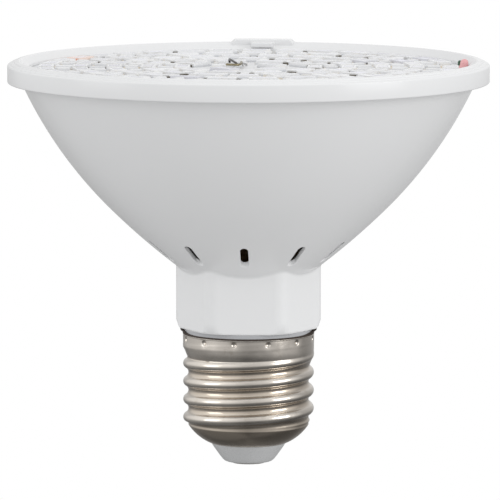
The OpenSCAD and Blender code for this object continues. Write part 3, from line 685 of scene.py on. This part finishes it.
# Two insulated wires come up from the driver through holes near the middle of the board. Blobs of
# solder hold their bare twisted ends, which reach forward over the inner row and cross as a dark X.
joint_x, joint_y, joint_gap, cover_r, strand_r = 2.9, 9.2, 2.31, 0.7, 0.22
blob_r, blob_high, blob_turn = 1.12, 0.62, np.radians(np.arange(0, 360, 15.0))


def smooth_path(corners, steps):
    """A soft line through corner points: between neighbours a cubic keeps to the mean direction
    of the points before and after."""
    p = np.array(corners, float)
    p = np.concatenate([[2 * p[0] - p[1]], p, [2 * p[-1] - p[-2]]])
    t = np.linspace(0, 1, steps, endpoint=False)[:, None]
    runs = [0.5 * (2 * b + (c - a) * t + (2 * a - 5 * b + 4 * c - d) * t ** 2
                   + (3 * b - a - 3 * c + d) * t ** 3)
            for a, b, c, d in zip(p[:-3], p[1:-2], p[2:-1], p[3:])]
    return np.concatenate(runs + [p[-2:-1]])


def round_wire(path, radius, sides=14, ends=3, strands=0, lay=2.0):
    """A wire along a path: circles stand square to the path, each turned on from the last so that
    none twists, and shrink to a point in a half round at both ends. With strands, the circle is
    fluted by their number and the flutes turn once in each lay, in mm."""
    step = np.gradient(path, axis=0)
    along = step / np.linalg.norm(step, axis=1, keepdims=True)
    first = np.cross(along[0], [0.3, 0.5, 0.81])
    side = [first / np.linalg.norm(first)]
    for d in along[1:]:
        s = side[-1] - d * np.dot(side[-1], d)
        side.append(s / np.linalg.norm(s))
    side = np.array(side)
    other = np.cross(along, side)
    size = np.full(len(path), radius)
    cap = np.radians(np.linspace(2, 90, ends, endpoint=False))
    centre = np.concatenate([path[:1] - along[:1] * radius * np.cos(cap)[:, None], path,
                             path[-1:] + along[-1:] * radius * np.cos(cap[::-1])[:, None]])
    size = np.concatenate([radius * np.sin(cap), size, radius * np.sin(cap[::-1])])[:, None, None]
    side = np.concatenate([side[:1].repeat(ends, 0), side, side[-1:].repeat(ends, 0)])[:, None]
    other = np.concatenate([other[:1].repeat(ends, 0), other, other[-1:].repeat(ends, 0)])[:, None]
    run = np.concatenate([[0], np.cumsum(np.linalg.norm(np.diff(centre, axis=0), axis=1))])[:, None]
    a = 2 * math.pi * np.arange(sides)[None] / sides + 0 * run
    if strands:
        size = size * (1 + 0.1 * np.cos(strands * (a - 2 * math.pi * run / lay)))[..., None]
    a = a[..., None]
    grid = centre[:, None] + size * (np.cos(a) * side + np.sin(a) * other)
    return grid, closed_tube(len(grid), sides)


dark_strand = new_finish("dark_strand", (0.10, 0.09, 0.085), 0.3, drift=0.3, patch=0.6, grain=0.1,
                         depth=0.01, Metallic=1.0)[0]
tinned_strand = new_finish("tinned_strand", (0.30, 0.26, 0.17), 0.3, drift=0.4, patch=0.6, grain=0.1,
                           depth=0.01, Metallic=1.0)[0]
joint_solder = new_finish("joint_solder", (0.50, 0.50, 0.50), 0.3, drift=0.15, patch=0.8, grain=0.3,
                          depth=0.02, Metallic=1.0)[0]
joint_wires = (
    (1, "plus_wire", red_cover, "wire_red", dark_strand, ["wire_solder"],
     [(-4.2, 8.3, 1.3), (-3.7, 5.5, 1.45), (-2.9, 3, 1.25), (-2.1, 1.2, 0.85)]),
    (-1, "minus_wire", black_cover, "wire_black", tinned_strand, [],
     [(-1.7, 6.5, 1.0), (-1.65, 2.8, 0.95), (-2.3, 0.9, 0.9), (-4.4, 1.1, 0.95)]))
for way, name, cover, slot, strand, nodes, over in joint_wires:
    x, y = -joint_x - way * joint_gap / 2, joint_y - way * 0.4
    low = smooth_path([(-way * 5, 0, 54.42), (-way * 4.9, 0.8, 56), (x - way * 0.3, y - 1.8, 67),
                       (x, y, 71), (x, y, face_z - 0.3)], 8)
    fit_piece(make_piece(name + "_cover", [round_wire(low, cover_r)], 60), cover, slot, name)
    bare = smooth_path(np.array([(x, y, -0.6), (x, y, 0.2)] + over) + [0, 0, face_z], 9)
    twisted = round_wire(bare, strand_r, sides=18, strands=5, lay=1.6)
    fit_piece(make_piece(name + "_strand", [twisted], 60), strand, "solder")
    blob = [(blob_r * math.cos(t * math.pi / 2) ** 0.7 + 0.02, blob_high * math.sin(t * math.pi / 2))
            for t in np.linspace(0, 1, 9)[:-1]]
    dome = turned([(0.02, -0.05), (blob_r, -0.05)] + blob + [(0.02, blob_high)], blob_turn)[0]
    solder = (dome + [x, y, face_z], closed_tube(len(dome), len(blob_turn)))
    fit_piece(make_piece(name + "_solder", [solder], 50), joint_solder, "solder", *nodes)

# The end of a pale red wire leans out of a hole near the rim on the right and stops at the ring's
# inner wall. A thin dark green one stands beside it.
rim_red = new_finish("rim_red_cover", (0.87, 0.45, 0.46), 0.4, drift=0.05, patch=1.5, grain=0.4,
                     depth=0.01)[0]
rim_green = new_finish("rim_green_cover", (0.03, 0.09, 0.05), 0.4, drift=0.15, patch=1, grain=0.3,
                       depth=0.01)[0]


def on_board(r, degrees, z):
    """A point at a distance from the axis, in a direction in degrees, at a height."""
    return (r * math.cos(math.radians(degrees)), r * math.sin(math.radians(degrees)), z)


red_side, rim_red_r, green_side, rim_green_r, green_reach = 6, 0.83, 11.5, 0.42, 42.9
red_line = smooth_path([on_board(r, red_side, z) for r, z in (
    (41.1, 73.6), (41.7, 76.4), (42.75, 78.8), (43.08, 79.5), (43.2, 80.1))], 7)
fit_piece(make_piece("rim_wire_red_cover", [round_wire(red_line, rim_red_r, sides=20, ends=6)], 60),
          rim_red, "wire_red", "rim_wire_red")
green_line = smooth_path([on_board(green_reach, green_side, z) for z in (76.6, 78.4, 79.9)], 6)
fit_piece(make_piece("rim_wire_green_cover", [round_wire(green_line, rim_green_r, ends=4)], 60),
          rim_green, "wire_green", "rim_wire_green")

# The front ring is a second, whiter moulding that clips over the housing's rim and holds the
# board. Its sloped face has two faint turned steps, and a flat lug with a hook stands at the back.
ring_r, ring_in, crown_r, window_r, crown_z = 48.05, 46.85, 45.6, 43.9, 81.0
shoulder_z = rim_z + 3.53


def rounded(corners, soft):
    """A closed outline with its corners rounded: each corner is replaced by a curve from a point
    before it to a point after it that is drawn towards the corner."""
    p = np.array(corners, float)
    out = []
    for before, here, after, s in zip(np.roll(p, 1, 0), p, np.roll(p, -1, 0), soft):
        a, b = before - here, after - here
        start = here + a / np.linalg.norm(a) * min(s, np.linalg.norm(a) * 0.45)
        end = here + b / np.linalg.norm(b) * min(s, np.linalg.norm(b) * 0.45)
        for t in np.linspace(0, 1, 5):
            out.append(start * (1 - t) ** 2 + here * 2 * t * (1 - t) + end * t * t)
    return np.array(out)


ring_corners = [(ring_r, rim_z), (ring_r, shoulder_z), (ring_r - 0.62, shoulder_z + 0.16),
                (ring_r - 0.68, shoulder_z + 0.33), (ring_r - 1.35, shoulder_z + 0.45),
                (ring_r - 1.41, shoulder_z + 0.63), (crown_r, crown_z + 0.03),
                (window_r, face_z + 0.6), (window_r, face_z), (ring_in, face_z), (ring_in, lip_z),
                (ring_in - 0.6, lip_z), (ring_in - 0.6, rim_z + 0.1), (ring_in - 0.5, rim_z)]
ring_soft = [0.3, 0.32, 0.02, 0.02, 0.02, 0.02, 0.4, 0.15, 0.1, 0.05, 0.05, 0.05, 0.04, 0.04]
section = rounded(ring_corners, ring_soft)
ring_turn = np.radians(np.arange(0, 360, 0.75))
ring_body = turned([tuple(p) for p in section] + [tuple(section[0])], ring_turn)


def swept_block(section, angles, scale, base):
    """A block that follows the ring: a closed section (r, z) at each angle, whose heights over a
    base are multiplied by that angle's scale. Both ends are closed."""
    r = section[:, 0][None] + 0 * angles[:, None]
    z = base + (section[:, 1][None] - base) * scale[:, None]
    a = angles[:, None]
    grid = np.stack([r * np.cos(a), r * np.sin(a), z], axis=-1)
    return grid, closed_tube(len(angles), len(section))


lug_top, lug_foot, lug_in = crown_z + 0.46, 80.25, crown_r - 0.88
lug_mid, lug_r, hook_r, hook_foot, hook_top = math.radians(90 - 1.3), 46.2, 44.2, 79.9, 80.95
lug_plan = rounded([(ring_r - 0.35, lug_foot), (ring_r - 0.35, lug_top), (lug_in, lug_top),
                    (lug_in, lug_foot)], [0.02, 0.18, 0.18, 0.02])
lug_end = np.array([5.6, 5.78, 5.86, 6.1, 6.5])
lug_y = np.concatenate([-lug_end[::-1], np.linspace(-5.6, 5.6, 12)[1:-1], lug_end])
lug_fall = np.interp(np.abs(lug_y), lug_end, [1, 0.985, 0.94, 0.75, 0.45])
lug = swept_block(lug_plan, lug_mid + lug_y / lug_r, lug_fall, lug_foot)
hook_plan = rounded([(45.3, hook_foot), (45.3, hook_top), (43.0, hook_top), (43.0, hook_foot)],
                    [0.02, 0.05, 0.25, 0.25])
hook_y = np.array([-2.3, -2.26, -2.15, 0, 2.15, 2.26, 2.3])
hook_fall = np.array([0.93, 0.98, 1, 1, 1, 0.98, 0.93])
hook = swept_block(hook_plan, lug_mid + hook_y / hook_r, hook_fall, hook_foot)
ring_plastic, shader, place, shade = new_finish(
    "ring_plastic", (0.835, 0.837, 0.841), 0.24, drift=0.01, patch=20, grain=2.0, depth=0.002,
    spread=0.03, IOR=1.49)
add_specks(ring_plastic, shader, place, shade, (0.5, 0.5, 0.52), cell=7, size=0.14, share=0.03)
fit_piece(make_piece("front_ring_moulding", [ring_body, lug, hook], 26), ring_plastic, "front_ring",
          "front_ring")

# The floor is a plain pale disc far under the lamp, outside the picture. A grey tent that only
# reflections see stands round lamp and camera: dim below and behind the camera, with darker strips
# behind on both sides, as round a photographer's table. It gives plated metal its dark bands.
floor_turn, floor_z, floor_r = np.radians(np.arange(0, 360, 6.0)), -1700.0, 5100
floor_rows = [(r, floor_z) for r in (0.001, floor_r / 3, floor_r)]
floor = make_piece("studio_floor", [turned(floor_rows, floor_turn)])
floor_paint = new_finish("floor_paint", (0.58, 0.58, 0.58), 0.7, drift=0.01, patch=200, grain=4,
                         depth=0.02)[0]
floor.data.materials.append(floor_paint)
floor.visible_glossy = False

tent_r, rise = 2000, np.radians(np.linspace(-90, 90, 25))
tent_rows = [(tent_r * math.cos(t) + 0.001, tent_r * math.sin(t)) for t in rise]
tent = make_piece("studio_tent", [turned(tent_rows, floor_turn)])
tent_cloth = bpy.data.materials.new("tent_cloth")
tent_cloth.use_nodes = True
tent_cloth.node_tree.nodes.clear()
away = add_node(tent_cloth, "ShaderNodeTexCoord").outputs["Object"]
split = add_node(tent_cloth, "ShaderNodeSeparateXYZ", {0: away})
bearing = add_math(tent_cloth, "ARCTAN2", split.outputs[0],
                   add_math(tent_cloth, "MULTIPLY", split.outputs[1], -1.0))


def level_ramp(value, low, high, levels):
    """Brightness along a range: levels are (place in the range, brightness), straight between."""
    ramp = add_node(tent_cloth, "ShaderNodeValToRGB", {"Fac": map_range(tent_cloth, value, low, high)})
    for where, level in levels[1:-1]:
        ramp.color_ramp.elements.new((where - levels[0][0]) / (levels[-1][0] - levels[0][0]))
    for element, (where, level) in zip(ramp.color_ramp.elements, levels):
        element.color = (level, level, level, 1)
    return ramp.outputs[0]


round_level = level_ramp(bearing, -math.pi, math.pi, [
    (-180, 0.9), (-164, 0.6), (-150, 0.52), (-135, 0.82), (-110, 0.92), (-60, 1.06), (-30, 0.88),
    (0, 0.56), (30, 0.73), (60, 0.92), (90, 0.78), (115, 0.42), (150, 0.55), (165, 0.7), (180, 0.9)])
high_level = level_ramp(split.outputs[2], -tent_r * MM, tent_r * MM, [
    (-1, 0.17), (-0.6, 0.2), (-0.25, 0.42), (-0.05, 0.8), (0.1, 1.0), (0.6, 1.15), (1, 1.0)])
both = mix_colours(tent_cloth, 1.0, round_level, high_level, blend="MULTIPLY")
glow = add_node(tent_cloth, "ShaderNodeEmission", {"Color": both})
add_node(tent_cloth, "ShaderNodeOutputMaterial", {0: glow.outputs[0]})
tent_cloth.cycles.emission_sampling = "NONE"
tent.data.materials.append(tent_cloth)
tent.visible_camera = tent.visible_diffuse = tent.visible_shadow = False
tent.visible_transmission = False

# The world gives an even, nearly white fill. The camera, reflections and clear parts see it white.
world = bpy.data.worlds.new("studio_world")
bpy.context.scene.world = world
world.use_nodes = True
world.node_tree.nodes.clear()
paths = add_node(world, "ShaderNodeLightPath").outputs
direct = add_math(world, "MAXIMUM", paths["Is Camera Ray"], paths["Is Glossy Ray"])
direct = add_math(world, "MAXIMUM", direct, paths["Is Transmission Ray"])
soft_fill = add_node(world, "ShaderNodeBackground", {"Color": (0.99, 0.995, 1.0, 1),
                                                     "Strength": 0.845})
white_back = add_node(world, "ShaderNodeBackground", {"Color": (1, 1, 1, 1), "Strength": 1.0})
choose = add_node(world, "ShaderNodeMixShader", {0: direct, 1: soft_fill.outputs[0],
                                                 2: white_back.outputs[0]})
add_node(world, "ShaderNodeOutputWorld", {0: choose.outputs[0]})


def soft_box(name, place_mm, aim_mm, size_mm, power):
    """A square area lamp that looks at a point."""
    lamp = bpy.data.lights.new(name, "AREA")
    lamp.shape = "SQUARE"
    lamp.size = size_mm * MM
    lamp.energy = power
    box = add_object(name, lamp)
    there = np.array(place_mm, float) * MM
    look = Vector(((np.array(aim_mm, float) * MM) - there).tolist())
    box.location = there.tolist()
    box.rotation_euler = look.to_track_quat("-Z", "Y").to_euler()


soft_box("box_top", (120, -250, 1100), (0, 0, 60), size_mm=900, power=0.9)
soft_box("box_right", (1000, -500, 300), (0, 0, 50), size_mm=600, power=3.1)
soft_box("box_left", (-1000, -400, 300), (0, 0, 50), size_mm=600, power=1.2)

# The camera looks slightly down from the front, at the photograph's distance and angle.
turn, lift, far, aside, aim_z = math.radians(2.4), math.radians(6.65), 1150.0, 0.3, 42.83
aim = np.array([aside * math.cos(turn), aside * math.sin(turn), aim_z])
spot = aim + far * np.array([math.sin(turn) * math.cos(lift), -math.cos(turn) * math.cos(lift),
                             math.sin(lift)])
lens = bpy.data.cameras.new("camera")
lens.lens = 414.0
lens.sensor_width = 36.0
lens.clip_end = 20.0
camera = add_object("camera", lens)
camera.location = (spot * MM).tolist()
camera.rotation_euler = (math.pi / 2 - lift, 0, turn)
bpy.context.scene.camera = camera
bpy.context.scene.view_settings.view_transform = "Standard"
